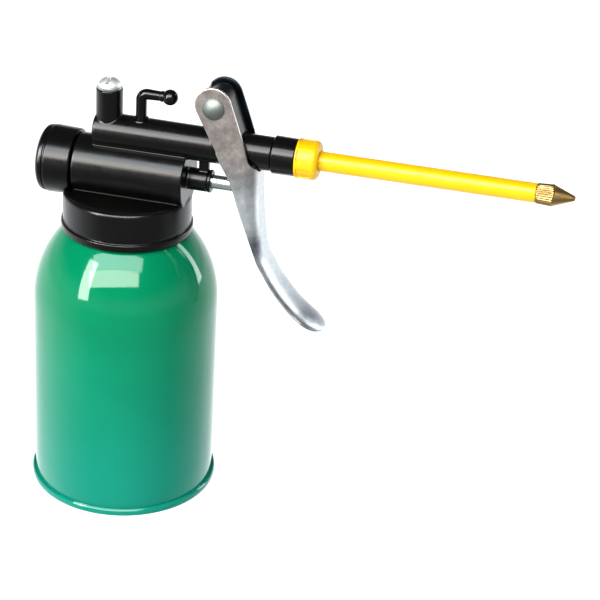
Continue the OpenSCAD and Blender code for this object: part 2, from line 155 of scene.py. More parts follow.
# ------------------------------------------------------------------ solids as distance fields
class Field:
    """A box of space sampled at a pitch, in which shapes are distances in millimetres."""

    def __init__(self, lo, hi, pitch):
        self.pitch, self.lo = pitch, np.array(lo, np.float32)
        n = [int(math.ceil((b - a) / pitch)) + 1 for a, b in zip(lo, hi)]
        axes = [self.lo[i] + np.arange(n[i], dtype=np.float32) * pitch for i in range(3)]
        self.x, self.y, self.z = axes[0][:, None, None], axes[1][None, :, None], axes[2][None, None, :]

    def mesh(self, distance):
        """Points in millimetres and quads on the distance's zero surface."""
        band = self.pitch * 3
        grid = openvdb.FloatGrid(background=band)
        shape = np.broadcast_shapes(distance.shape, (self.x.size, self.y.size, self.z.size))
        grid.copyFromArray(np.clip(np.broadcast_to(distance, shape), -band, band).astype(np.float32))
        points, quads = grid.convertToQuads(0.0)
        return points * self.pitch + self.lo, quads[:, ::-1].astype(np.int32)

    def rod(self, axis, a0, a1, r, centre, edge=0.0):
        """A capped cylinder whose ends are rounded by edge. centre is the other two coordinates."""
        along = {"x": self.x, "y": self.y, "z": self.z}[axis]
        u, v = [{"x": self.x, "y": self.y, "z": self.z}[k] for k in "xyz" if k != axis]
        radial = np.sqrt((u - centre[0]) ** 2 + (v - centre[1]) ** 2)
        return capped(radial - r, np.abs(along - (a0 + a1) / 2) - (a1 - a0) / 2, edge)

    def cone_x(self, x0, x1, ra, rb, z, edge=0.0):
        radial = np.sqrt(self.y ** 2 + (self.z - z) ** 2)
        r = ra + (rb - ra) * (self.x - x0) / (x1 - x0)
        return capped(radial - r, np.abs(self.x - (x0 + x1) / 2) - (x1 - x0) / 2, edge)

    def block(self, lo, hi, edge=0.0):
        d = None
        for k, axis in enumerate((self.x, self.y, self.z)):
            q = np.abs(axis - (lo[k] + hi[k]) / 2) - (hi[k] - lo[k]) / 2
            d = q if d is None else capped(d, q, edge)
        return d


def capped(a, b, edge):
    """Where both distances are inside, their meeting edge rounded by edge."""
    a, b = a + edge, b + edge
    return np.minimum(np.maximum(a, b), 0) + np.sqrt(np.maximum(a, 0) ** 2 + np.maximum(b, 0) ** 2) - edge


def join(a, b, fillet=0.0):
    if fillet <= 0:
        return np.minimum(a, b)
    h = np.maximum(fillet - np.abs(a - b), 0)
    return np.minimum(a, b) - h * h / (4 * fillet)


def cut(a, b, edge=0.0):
    return -join(-a, b, edge)


def outline(px, pz, points):
    """Signed distance in a plane to a closed outline, negative inside."""
    pts = np.array(points, np.float32)
    best = np.full(np.broadcast_shapes(px.shape, pz.shape), 1e9, np.float32)
    inside = np.zeros(best.shape, bool)
    for (ax, az), (bx, bz) in zip(pts, np.roll(pts, -1, 0)):
        ex, ez = bx - ax, bz - az
        t = np.clip(((px - ax) * ex + (pz - az) * ez) / (ex * ex + ez * ez), 0, 1)
        best = np.minimum(best, (px - ax - t * ex) ** 2 + (pz - az - t * ez) ** 2)
        if ez != 0:
            crosses = ((az <= pz) != (bz <= pz)) & (px < ax + (pz - az) / ez * ex)
            inside ^= crosses
    return np.where(inside, -np.sqrt(best), np.sqrt(best))


# ------------------------------------------------------------------ materials
def new_material(name, **values):
    """A Principled material with its plain numbers set on the shader itself."""
    m = bpy.data.materials.new(name)
    m.use_nodes = True
    shader = m.node_tree.nodes["Principled BSDF"]
    for key, value in values.items():
        shader.inputs[key.replace("_", " ")].default_value = value
    return m, m.node_tree, shader


def node(tree, kind, **settings):
    n = tree.nodes.new(kind)
    for key, value in settings.items():
        if key in n.inputs:
            n.inputs[key].default_value = value
        else:
            setattr(n, key, value)
    return n


def noise(tree, scale, detail):
    """Noise on the piece's own coordinates, scale in features per metre."""
    n = node(tree, "ShaderNodeTexNoise", Scale=scale, Detail=detail, Roughness=0.55)
    tree.links.new(node(tree, "ShaderNodeTexCoord").outputs["Object"], n.inputs["Vector"])
    return n.outputs["Fac"]


def ramp(tree, source, stops):
    r = node(tree, "ShaderNodeValToRGB")
    while len(r.color_ramp.elements) < len(stops):
        r.color_ramp.elements.new(0.5)
    for e, (at, colour) in zip(r.color_ramp.elements, stops):
        e.position = at
        e.color = (*colour, 1) if len(colour) == 3 else colour
    tree.links.new(source, r.inputs["Fac"])
    return r.outputs["Color"]


def span(tree, source, lo, hi, a=0.0, b=1.0):
    """Source from lo..hi mapped to a..b."""
    m = node(tree, "ShaderNodeMapRange")
    for key, value in (("From Min", lo), ("From Max", hi), ("To Min", a), ("To Max", b)):
        m.inputs[key].default_value = value
    tree.links.new(source, m.inputs["Value"])
    return m.outputs["Result"]


def bump(tree, shader, sources):
    """Chained bumps, (height source, distance in mm, strength)."""
    last = None
    for height, depth, strength in sources:
        b = node(tree, "ShaderNodeBump")
        b.inputs["Distance"].default_value = depth * MM
        b.inputs["Strength"].default_value = strength
        tree.links.new(height, b.inputs["Height"])
        if last:
            tree.links.new(last, b.inputs["Normal"])
        last = b.outputs["Normal"]
    tree.links.new(last, shader.inputs["Normal"])


def feed(tree, shader, socket, source):
    tree.links.new(source, shader.inputs[socket])


def enamel():
    m, t, s = new_material("green_enamel", IOR=1.46)
    split = node(t, "ShaderNodeSeparateXYZ")
    t.links.new(node(t, "ShaderNodeTexCoord").outputs["Object"], split.inputs[0])
    # Painted reflection: the base runs from a lighter, bluer green at the foot to a deeper green from 80 mm
    # up, standing in for the pale floor reflected in the lower wall.
    skin = node(t, "ShaderNodeMix", data_type="RGBA")
    t.links.new(span(t, split.outputs["Z"], 0.0, 0.08), skin.inputs["Factor"])
    cloud = noise(t, 35, 2)
    t.links.new(ramp(t, cloud, [(0.3, (0.004, 0.152, 0.113)), (0.7, (0.006, 0.165, 0.122))]), skin.inputs[6])
    t.links.new(ramp(t, cloud, [(0.3, (0.0, 0.124, 0.057)), (0.7, (0.0, 0.136, 0.064))]), skin.inputs[7])
    feed(t, s, "Base Color", skin.outputs[2])
    feed(t, s, "Roughness", span(t, noise(t, 120, 4), 0.3, 0.7, 0.05, 0.09))
    bump(t, s, [(noise(t, 260, 2), 0.03, 0.12), (noise(t, 60, 2), 0.3, 0.10)])
    return m


def black_paint(name, low, high):
    m, t, s = new_material(name, IOR=1.5, Specular_IOR_Level=0.42)
    dark = [BLACK_TONE * k for k in (1, 1, 1)]
    light = [BLACK_TONE * k for k in (1.5, 1.42, 1.3)]
    feed(t, s, "Base Color", ramp(t, noise(t, 90, 3), [(0.3, dark), (0.7, light)]))
    feed(t, s, "Roughness", span(t, noise(t, 220, 4), 0.3, 0.7, low, high))
    bump(t, s, [(noise(t, 1400, 3), 0.012, 0.25), (noise(t, 300, 2), 0.05, 0.12)])
    return m


def metal(name, colour, low, high, colour2=None, bumps=((600, 0.02, 0.2),)):
    m, t, s = new_material(name, Metallic=1.0)
    dark = colour2 or tuple(c * 0.86 for c in colour)
    feed(t, s, "Base Color", ramp(t, noise(t, 150, 4), [(0.3, dark), (0.7, colour)]))
    feed(t, s, "Roughness", span(t, noise(t, 400, 3), 0.3, 0.7, low, high))
    bump(t, s, [(noise(t, scale, 3), depth, strength) for scale, depth, strength in bumps])
    return m


def plastic(name, colour, colour2, low, high):
    m, t, s = new_material(name, IOR=1.48)
    feed(t, s, "Base Color", ramp(t, noise(t, 60, 2), [(0.3, colour), (0.7, colour2)]))
    feed(t, s, "Roughness", span(t, noise(t, 200, 3), 0.3, 0.7, low, high))
    bump(t, s, [(noise(t, 500, 2), 0.02, 0.15)])
    return m


def lever_metal():
    """Zinc-plated steel. The ears get a warmer, lighter base than the web, as painted light and shade; the
    bends carry a painted highlight band with a painted dark reflection streak below it; the inside of the
    channel is painted dark as painted shade.
    """
    m, t, s = new_material("lever_steel", Metallic=1.0)
    split = node(t, "ShaderNodeSeparateXYZ")
    t.links.new(node(t, "ShaderNodeTexCoord").outputs["Object"], split.inputs[0])
    x, y, z = split.outputs
    apart = node(t, "ShaderNodeMath", operation="ABSOLUTE")
    t.links.new(y, apart.inputs[0])
    # Painted shade: the inner faces of the channel, 27 to 44.8 mm along and from 112 mm up, are marked here
    # to get a near-black base.
    inside = span(t, apart.outputs[0], 0.0069, 0.0067)
    for source, lo, hi in ((x, 0.0455, 0.0448), (x, 0.0262, 0.0270), (z, 0.112, 0.124)):
        both = node(t, "ShaderNodeMath", operation="MULTIPLY")
        t.links.new(inside, both.inputs[0])
        t.links.new(span(t, source, lo, hi), both.inputs[1])
        inside = both.outputs[0]
    fine = noise(t, 900, 4)
    # Painted light and shade: the ears get a warmer, lighter base than the web, standing in for how each part
    # of the one sheet is lit.
    ear = ramp(t, fine, [(0.35, (0.52, 0.462, 0.44)), (0.65, (0.64, 0.575, 0.545))])
    web = ramp(t, fine, [(0.35, (0.44, 0.465, 0.49)), (0.65, (0.53, 0.56, 0.585))])
    # Painted highlight and painted reflection: a bright band on the bends from 104 to 126 mm up, and a dark
    # streak from 97 to 106 mm, stand in for what the bends reflect.
    bright = ramp(t, fine, [(0.35, (0.78, 0.82, 0.84)), (0.65, (0.88, 0.92, 0.94))])
    painted_dark_streak = ramp(t, fine, [(0.35, (0.19, 0.205, 0.23)), (0.65, (0.28, 0.30, 0.33))])
    bends = span(t, apart.outputs[0], 0.0035, 0.0055)
    for colour, low, high, width in ((bright, 0.104, 0.126, 0.007), (painted_dark_streak, 0.097, 0.106, 0.003)):
        band = node(t, "ShaderNodeMath", operation="MULTIPLY")
        t.links.new(span(t, z, low, low + width), band.inputs[0])
        t.links.new(span(t, z, high, high - width), band.inputs[1])
        edge = node(t, "ShaderNodeMath", operation="MULTIPLY")
        t.links.new(band.outputs[0], edge.inputs[0])
        t.links.new(bends, edge.inputs[1])
        tint = node(t, "ShaderNodeMix", data_type="RGBA")
        t.links.new(edge.outputs[0], tint.inputs["Factor"])
        t.links.new(web, tint.inputs[6])
        t.links.new(colour, tint.inputs[7])
        web = tint.outputs[2]
    skin = node(t, "ShaderNodeMix", data_type="RGBA")
    t.links.new(span(t, z, 0.118, 0.136), skin.inputs["Factor"])
    t.links.new(web, skin.inputs[6])
    t.links.new(ear, skin.inputs[7])
    # painted shade mixed in over the inner faces of the channel
    painted_channel_shade = node(t, "ShaderNodeMix", data_type="RGBA")
    t.links.new(inside, painted_channel_shade.inputs["Factor"])
    t.links.new(skin.outputs[2], painted_channel_shade.inputs[6])
    t.links.new(ramp(t, noise(t, 120, 3), [(0.35, (0.012, 0.016, 0.022)), (0.7, (0.045, 0.062, 0.080))]),
                painted_channel_shade.inputs[7])
    feed(t, s, "Base Color", painted_channel_shade.outputs[2])
    feed(t, s, "Roughness", span(t, noise(t, 300, 4), 0.3, 0.7, 0.30, 0.42))
    bump(t, s, [(noise(t, 500, 3), 0.03, 0.25), (noise(t, 2500, 3), 0.012, 0.35)])
    return m


GREEN = enamel()
BLACK = black_paint("black_enamel", 0.20, 0.27)
BLACK_PLASTIC = black_paint("black_plastic", 0.18, 0.25)
GLOSS_BLACK = black_paint("key_black", 0.12, 0.18)
STEEL = metal("plain_steel", (0.55, 0.55, 0.56), 0.30, 0.42, bumps=((500, 0.03, 0.25), (2500, 0.01, 0.3)))
LEVER_STEEL = lever_metal()
SATIN = metal("satin_steel", (0.95, 0.96, 0.95), 0.46, 0.54)
RIVET = metal("rivet_steel", (0.235, 0.255, 0.245), 0.52, 0.6)
ROD = metal("rod_steel", (0.75, 0.75, 0.76), 0.24, 0.3)
CHROME = metal("bright_steel", (0.80, 0.80, 0.81), 0.12, 0.2)
WIRE = metal("spring_steel", (0.5, 0.5, 0.51), 0.25, 0.35)
BRASS = metal("nozzle_brass", (0.46, 0.32, 0.14), 0.32, 0.40, colour2=(0.36, 0.235, 0.09))
VALVE_BRASS = metal("valve_brass", (0.75, 0.55, 0.28), 0.25, 0.35)
YELLOW = plastic("yellow_plastic", (0.50, 0.290, 0.0), (0.54, 0.318, 0.0), 0.30, 0.38)
RUBBER = plastic("seal_rubber", (0.015, 0.015, 0.015), (0.022, 0.022, 0.022), 0.55, 0.7)
NYLON = plastic("clear_nylon", (0.34, 0.32, 0.25), (0.38, 0.36, 0.285), 0.3, 0.4)

LOOK = {
    "can_shell": GREEN, "can_base": GREEN, "head_gasket": RUBBER, "pump_head": BLACK,
    "rear_cap": BLACK_PLASTIC, "rear_cap_seal": RUBBER, "return_spring": WIRE, "piston": VALVE_BRASS,
    "piston_seal": RUBBER, "piston_nut": STEEL, "piston_rod": ROD, "rod_seal": RUBBER,
    "gland_bush": BLACK_PLASTIC, "suction_tube": NYLON, "strainer": VALVE_BRASS,
    "inlet_seat": VALVE_BRASS, "inlet_ball": CHROME, "outlet_ball": CHROME, "outlet_spring": WIRE,
    "valve_screw": SATIN, "valve_washer": STEEL, "shutoff_key": GLOSS_BLACK, "key_seal": RUBBER,
    "key_gland": BLACK_PLASTIC, "lever": LEVER_STEEL, "pivot_rivet": RIVET, "rivet_washer": STEEL,
    "front_sleeve": BLACK_PLASTIC, "spout_seal": RUBBER, "spout_nut": YELLOW, "spout_tube": YELLOW,
    "nozzle": BRASS,
}
for name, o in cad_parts.items():
    o.data.materials.clear()
    o.data.materials.append(LOOK[name])
    o.data.shade_smooth()
    o.modifiers.new("one skin", "WELD").merge_threshold = 0.000002
    o.modifiers.new("crisp edges", "EDGE_SPLIT").split_angle = math.radians(32)


# ------------------------------------------------------------------ the can
def arc(cx, cz, r, a0, a1, n):
    """Profile points (z, r) on an arc from a0 to a1 degrees."""
    angles = np.radians(np.linspace(a0, a1, n))
    return [(cz + r * math.sin(a), cx + r * math.cos(a)) for a in angles]


def can():
    top = math.degrees(math.asin((99 - SHOULDER_Z) / SHOULDER_R))
    outer = arc(CAN_R - SHOULDER_R, SHOULDER_Z, SHOULDER_R, 0, top, 48)
    inner = arc(CAN_R - SHOULDER_R, SHOULDER_Z, SHOULDER_R - 0.8, top, 0, 32)
    thread = []
    for z in (101.0, 103.4):
        thread += [(z, NECK_R, 0.15), (z + 0.4, NECK_R + 0.4, 0.15), (z + 0.8, NECK_R + 0.4, 0.15),
                   (z + 1.2, NECK_R, 0.15)]
    wall = [(z, CAN_R) for z in np.linspace(2.6, 70, 8)]
    profile = (wall + outer + [(99.1, NECK_R, 0.3)] + thread
               + [(NECK_Z, NECK_R, 0.35), (NECK_Z, NECK_IN, 0.35), (98.6, NECK_IN, 0.5)]
               + inner + [(2.6, CAN_R - 0.8)])
    put("can_body", *lathe(profile, 256, "z", closed=True), GREEN, "reservoir", ["can_shell"],
        "green_enamel", True)
    foot = [(0.05, 0), (0.05, 28.4, 0.4), (0.75, 29.0, 0.4), (0.75, 30.1, 0.4), (0.0, 30.8, 0.4),
            (0.0, FOOT_R - 0.15, 0.5), (0.75, FOOT_R, 0.5), (1.95, FOOT_R - 0.03, 0.5),
            (2.5, FOOT_R - 0.5, 0.35), (2.42, CAN_R + 0.45, 0.12), (2.2, CAN_R + 0.12, 0.08),
            (2.5, CAN_R + 0.02), (2.5, CAN_R - 0.8), (1.6, CAN_R - 1.4, 0.3), (0.85, 28.3, 0.3), (0.85, 0)]
    put("can_foot", *lathe(foot, 256, "z", steps=5), GREEN, "reservoir", ["can_base"], "green_enamel", True)


# ------------------------------------------------------------------ the pump head
def head():
    f = Field((-27.6, -23.7, 94.4), (57.0, 23.7, 156.2), 0.34)
    rho = np.sqrt(f.x ** 2 + f.y ** 2)
    body = capped(rho - 22.3, np.abs(f.z - 104.9) - 8.4, 1.5)
    body = np.maximum(body, 99.5 - f.z)
    lip = capped(rho - 22.9, np.abs(f.z - 100.9) - 1.4, 0.5)
    body = join(body, lip, 0.3)
    body = cut(body, np.sqrt((rho - 22.55) ** 2 + (f.z - 102.55) ** 2) - 0.42, 0.15)
    body = np.maximum(body, -capped(rho - 20.2, f.z - 107.9, 0.3))
    body = join(body, f.rod("z", 95, 108.5, 5.0, (SUCTION_X, 0), 0.4), 0.8)
    bite = f.rod("x", -32, -17.45, 12.1, (0, PUMP_Z), 0.2)
    body = cut(body, bite, 0.3)
    barrel = f.rod("x", -17.5, 21.8, 10.4, (0, PUMP_Z), 0.45)
    barrel = join(barrel, f.rod("x", -26, -14, 9.0, (0, PUMP_Z), 0.2))
    body = np.minimum(body, barrel)
    tube = f.cone_x(-11.3, 51.0, 6.2, 5.8, TUBE_Z, 0.55)
    tube = join(tube, f.rod("x", 45, 56, 4.6, (0, TUBE_Z), 0.2))
    tube = join(tube, f.rod("z", TUBE_Z, BOSS_Z, 4.55, (VALVE_X, 0), 0.35))
    tube = np.minimum(tube, f.rod("z", TUBE_Z, TUBE_TOP, 2.85, (KEY_X, 0), 0.15))
    lug = outline(f.x, f.z, [(PIVOT[0] - 4.6, PIVOT[1] - 1), (PIVOT[0] + 4.7, PIVOT[1] + 1),
                              (PIVOT[0] + 10, TUBE_Z + 2), (PIVOT[0] - 0.4, TUBE_Z + 2)])
    lug = np.minimum(lug, np.sqrt((f.x - PIVOT[0]) ** 2 + (f.z - PIVOT[1]) ** 2) - 4.8)
    tube = join(tube, capped(lug, np.abs(f.y) - 6.0, 0.4), 0.4)
    tube = cut(tube, f.rod("y", -9, 9, PIN_R, PIVOT))
    body = np.minimum(body, tube)
    body = join(body, f.rod("x", 20, 28.9, 3.85, (0, PUMP_Z), 0.35), 0.3)
    body = join(body, f.block((25.4, -1.3, 122.6), (28.8, 1.3, 130.6), 0.3), 0.2)
    body = cut(body, f.rod("x", -28, 17.8, 7.5, (0, PUMP_Z)))
    body = cut(body, f.rod("x", 16, 31, 3.1, (0, PUMP_Z)))
    body = cut(body, f.rod("x", VALVE_X, 60, 1.9, (0, TUBE_Z)))
    body = cut(body, f.rod("z", 131.6, 152, 2.6, (VALVE_X, 0)))
    body = cut(body, f.rod("z", PUMP_Z, 133, 1.4, (VALVE_X, 0)))
    body = cut(body, f.rod("z", 130.7, 143, 2.3, (KEY_X, 0)))
    body = cut(body, f.rod("z", TUBE_TOP, 143, 2.45, (KEY_X, 0)))
    body = cut(body, f.rod("z", 93, 107.0, 2.85, (SUCTION_X, 0)))
    body = cut(body, f.rod("z", 104, PUMP_Z, 1.4, (SUCTION_X, 0)))
    put("head_casting", *f.mesh(body), BLACK, "head", ["pump_head"], "black_enamel")


def rear_cap():
    outside = [(-30.0, 0), (-30.0, 9.0, 0.5), (-30.0, 10.3, 0.8), (-29.1, 11.4, 0.9),
               (-27.75, 11.5, 0.25), (-27.5, 11.2, 0.15), (-27.15, 11.2, 0.15), (-26.85, 11.72, 0.3),
               (-26.4, 11.75), (-20.0, 11.5), (-18.2, 11.42, 0.4), (-17.8, 11.0, 0.3), (-17.8, 9.1, 0.2),
               (-27.2, 9.1), (-27.2, 0)]
    put("cap", *lathe(outside, 192, "x", (0, 0, PUMP_Z), steps=5), BLACK_PLASTIC, "head", ["rear_cap"],
        "black_plastic", True)


# ------------------------------------------------------------------ the lever
# the web's line from the tube down to the tip, as (x, z, depth of the side flanges)
WEB = [(46.4, 135, 13.8), (46.8, 130.2, 11.8), (47, 126, 9.9), (47.2, 122, 8.3), (47.5, 117, 6.9),
       (47.9, 112, 5.5), (48.4, 107.5, 4.3), (49, 103.5, 3.4), (49.7, 99.8, 2.7), (50.8, 96.1, 2.3),
       (52.7, 92.6, 2.1), (54.9, 89, 2.1), (57.5, 85.5, 2.1), (60.4, 82.1, 2.1), (63.7, 78.8, 2.1),
       (67.1, 76.1, 2.1), (69.4, 74.5, 2.05), (71.1, 73.4, 1.95), (73.35, 72, 1.6)]


def spline(points, n):
    """A smooth line through the points, n pieces between each pair."""
    p = np.array(points, float)
    p = np.vstack([2 * p[0] - p[1], p, 2 * p[-1] - p[-2]])
    out = []
    for i in range(1, len(p) - 2):
        a, b, c, d = p[i - 1:i + 3]
        for t in np.linspace(0, 1, n, endpoint=False):
            out.append(0.5 * (2 * b + (c - a) * t + (2 * a - 5 * b + 4 * c - d) * t * t
                              + (3 * b - a - 3 * c + d) * t ** 3))
    return np.array(out + [p[-2]])


def lever():
    """One stamped sheet. The near and far halves differ a little, so each is made and then joined."""
    f = Field((24.6, 0, 71.0), (74.6, 8.4, 157.8), 0.23)
    line = spline(WEB, 8).astype(np.float32)
    X, Z = f.x[:, :, 0], f.z[0]
    shape = (X.shape[0], Z.shape[1])
    best, along, deep, depth = (np.full(shape, v, np.float32) for v in (1e9, 0, 0, 0))
    run = 0.0
    last = len(line) - 2
    for k, (a, b) in enumerate(zip(line[:-1], line[1:])):
        e = b[:2] - a[:2]
        size = float(np.hypot(*e))
        e = e / size
        u = (X - a[0]) * e[0] + (Z - a[1]) * e[1]
        t = np.clip(u, 0 if k else -9, size if k < last else 9)
        gap = (X - a[0] - t * e[0]) ** 2 + (Z - a[1] - t * e[1]) ** 2
        near = gap < best
        best = np.where(near, gap, best)
        along = np.where(near, run + t, along)
        deep = np.where(near, (X - a[0]) * e[1] - (Z - a[1]) * e[0], deep)
        depth = np.where(near, a[2] + (b[2] - a[2]) * np.clip(t / size, 0, 1), depth)
        run += size
    along, deep, depth = along[:, None, :], deep[:, None, :], depth[:, None, :]
    half = LEVER_W / 2
    rn = np.minimum(4.0, depth - 0.1)
    ry = 4 + (4 - rn) * 1.4
    ease = rn / ry
    sheets = []
    for skew in (-0.17, 0.12):
        plan = capped(f.y - half, along - (run - 0.4 + skew * f.y), 7.4)
        u, v = np.maximum(plan * ease + rn, 0), np.maximum(rn - deep, 0)
        length = np.sqrt(u * u + v * v) + 1e-6
        outside = np.minimum(np.maximum(plan * ease + rn, rn - deep), 0) + length - rn
        slope = np.where(length > 1e-3, np.sqrt((ease * u) ** 2 + v * v) / length, 1)
        outside = outside / np.maximum(slope, 0.25)
        sheets.append(capped(np.abs(outside + LEVER_T / 2) - LEVER_T / 2, deep - depth, 0.55))
    notch = outline(X, Z, [(43.4, 134.6), (43.9, 132.6), (44.9, 131.2), (46.2, 130.2), (48.2, 129.6),
                           (60, 129.6), (60, 150), (43, 150), (43, 136)])[:, None, :]
    top = np.maximum(f.z - 135.5, 32.4 - f.x)
    sides = []
    for sheet, x, z in zip(sheets, (-0.2, 0.15), (1.0, -0.1)):
        sheet = np.maximum(sheet, np.where(f.z > 134.5, top, -1))
        cx, cz = PIVOT[0] + x, PIVOT[1] + z
        ear = outline(X, Z, [(cx - 5.475, cz - 3.02), (28.1, 143.6), (31.4, 137.2), (33.1, 134.2),
                             (33.8, 132.6), (43.2, 132.6), (43, 136), (42.2, 138.8), (40.5, 143.8),
                             (cx + 5.88, cz + 2.11)])
        ear = np.minimum(ear[:, None, :], np.sqrt((f.x - cx) ** 2 + (f.z - cz) ** 2) - 6.25)
        ear = capped(ear, np.abs(f.y - half + LEVER_T / 2) - LEVER_T / 2, 0.25)
        side = np.minimum(sheet, ear)
        side = cut(side, notch + 0 * f.y, 0.25)
        side = cut(side, f.rod("x", 40, 60, 6.4, (0, TUBE_Z)), 0.25)
        sides.append(cut(side, f.rod("y", -1, 12, PIN_R, PIVOT)))
    whole = np.concatenate([sides[0][:, :0:-1, :], sides[1]], 1)
    f.lo = np.array([24.6, -(sides[0].shape[1] - 1) * f.pitch, 71.0], np.float32)
    f.y = np.zeros((1, whole.shape[1], 1), np.float32)
    put("squeeze_lever", *f.mesh(whole), LEVER_STEEL, "lever", ["lever"], "brushed_steel")


def rivet():
    half = LEVER_W / 2

    def dome(y, s):
        big, rim = 5.2, 3.75
        flat = math.sqrt(big ** 2 - rim ** 2)
        radii = np.linspace(0, rim - 0.12, 14)
        points = [(y + s * (0.32 + math.sqrt(big ** 2 - r * r) - flat), r) for r in radii]
        return points + [(y + s * 0.3, rim), (y + s * 0.12, rim), (y, rim - 0.15)]
    near = dome(-half - 0.02, -1)
    far = dome(half + 0.52, 1)
    profile = near + [(-half - 0.02, 2.0), (half + 0.52, 2.0)] + far[::-1]
    put("rivet", *lathe(profile, 96, "y", (PIVOT[0], 0, PIVOT[1])), RIVET, "head", ["pivot_rivet"],
        "bright_steel", True)


# ------------------------------------------------------------------ screw, key and rod
def screw():
    f = Field((VALVE_X - 4.4, -4.4, 143.2), (VALVE_X + 4.4, 4.4, 153.6), 0.11)
    top = BOSS_Z + 0.52
    ball = np.sqrt((f.x - VALVE_X) ** 2 + f.y ** 2 + (f.z - (top + 3.1 - 4.9)) ** 2) - 4.9
    d = capped(ball, f.rod("z", top, top + 5, 3.95, (VALVE_X, 0), 0.15), 0.3)
    d = cut(d, f.block((VALVE_X - 0.6, -6, top + 1.7), (VALVE_X + 0.6, 6, top + 9)), 0.2)
    d = join(d, f.rod("z", 143.5, top + 0.5, 2.55, (VALVE_X, 0), 0.3))
    put("valve_cap_screw", *f.mesh(d), SATIN, "head", ["valve_screw"], "bright_steel")


def key():
    f = Field((KEY_X - 3.2, -3.0, 130.4), (17.4, 3.0, 151.8), 0.13)
    arm, bend = 148.8, 2.1
    d = f.rod("z", 130.85, 136.85, 2.15, (KEY_X, 0), 0.2)
    d = cut(d, f.rod("x", KEY_X - 4, KEY_X + 4, 1.5, (0, TUBE_Z)))
    d = np.minimum(d, f.rod("z", 135.8, 139, 1.5, (KEY_X, 0)))
    d = np.minimum(d, f.rod("z", 138.4, arm - bend, 1.85, (KEY_X, 0)))
    q = np.sqrt((f.x - KEY_X - bend) ** 2 + (f.z - arm + bend) ** 2) - bend
    elbow = np.sqrt(q * q + f.y ** 2) - 1.85
    elbow = np.maximum(elbow, np.maximum(f.x - KEY_X - bend, arm - bend - f.z))
    d = np.minimum(d, elbow)
    d = np.minimum(d, f.cone_x(KEY_X + bend - 0.02, 12.1, 1.85, 1.6, arm, 0))
    d = join(d, f.rod("x", 11.2, 12.35, 1.85, (0, arm), 0.3), 0.25)
    d = join(d, f.rod("x", 12, 14, 1.3, (0, arm)))
    d = join(d, np.sqrt((f.x - 14.4) ** 2 + f.y ** 2 + (f.z - arm) ** 2) - 2.7, 0.3)
    put("cock_key", *f.mesh(d), GLOSS_BLACK, "key", ["shutoff_key"], "black_plastic")


def plunger():
    tip = [(45.85 - 2.4 + 2.4 * math.sin(a), 2.4 * math.cos(a)) for a in np.linspace(0, math.pi / 2, 12)]
    shaft = [(x, 2.4) for x in (20, 30, 40)]
    profile = [(9.4, 0), (9.4, 2.0, 0.2), (17.6, 2.0), (17.62, 2.4, 0.1)] + shaft + tip
    put("rod", *lathe(profile, 96, "x", (0, 0, PUMP_Z)), ROD, "plunger", ["piston_rod"], "bright_steel", True)


def gland():
    profile = [(23.5, 2.46), (23.5, 3.08, 0.15), (28.93, 3.08), (28.93, 3.7, 0.1), (29.1, 3.95, 0.15),
               (29.85, 3.95, 0.2), (30.1, 3.55, 0.2), (30.1, 2.6, 0.1), (29.9, 2.46)]
    put("gland", *lathe(profile, 96, "x", (0, 0, PUMP_Z), closed=True), BLACK_PLASTIC, "head", ["gland_bush"],
        "black_plastic", True)


# ------------------------------------------------------------------ the spout
def spout():
    sleeve = [(51.04, 4.66), (51.04, 6.1, 0.15), (51.35, 6.48, 0.25), (55, 6.42), (58.7, 6.36, 0.3),
              (59.08, 6.1, 0.2), (59.08, 4.9), (62.9, 4.9, 0.2), (63.0, 4.6), (63.0, 1.9), (56.2, 1.9),
              (56.2, 4.66)]
    put("sleeve", *lathe(sleeve, 128, "x", (0, 0, TUBE_Z), closed=True), BLACK_PLASTIC, "head",
        ["front_sleeve"], "black_plastic", True)
    f = Field((58.7, -7.0, TUBE_Z - 7.0), (67.3, 7.0, TUBE_Z + 7.0), 0.125)
    radial = np.sqrt(f.y ** 2 + (f.z - TUBE_Z) ** 2)
    d = capped(radial - 6.65, np.abs(f.x - 60.6) - 6.3, 2.0)
    d = capped(d, 59.15 - f.x, 0.15)
    for a in range(0, 360, 60):
        c, s = math.cos(math.radians(a)), math.sin(math.radians(a))
        across = f.y * c + (f.z - TUBE_Z) * s
        out = -f.y * s + (f.z - TUBE_Z) * c
        pane = capped(np.abs(across) - 2.15, np.abs(f.x - 62.2) - 2.35, 0.9)
        d = cut(d, np.maximum(np.maximum(pane, 6.28 - radial), -out), 0.25)
    d = cut(d, f.rod("x", 50, 65.05, 5.0, (0, TUBE_Z)))
    d = cut(d, f.rod("x", 50, 70, 3.35, (0, TUBE_Z)), 0.3)
    put("nut", *f.mesh(d), YELLOW, "head", ["spout_nut"], "yellow_plastic")
    pipe = [(63.8, 1.9), (63.8, 4.8, 0.15), (65.0, 4.8, 0.15), (65.0, 3.3, 0.2)]
    pipe += [(x, 3.3 - 0.05 * (x - 65) / 74) for x in np.linspace(66.5, 138, 24)]
    pipe += [(139.0, 3.24, 0.15), (139.25, 3.05, 0.1), (139.25, 1.9)]
    put("spout_pipe", *lathe(pipe, 128, "x", (0, 0, TUBE_Z), closed=True), YELLOW, "head", ["spout_tube"],
        "yellow_plastic", True)


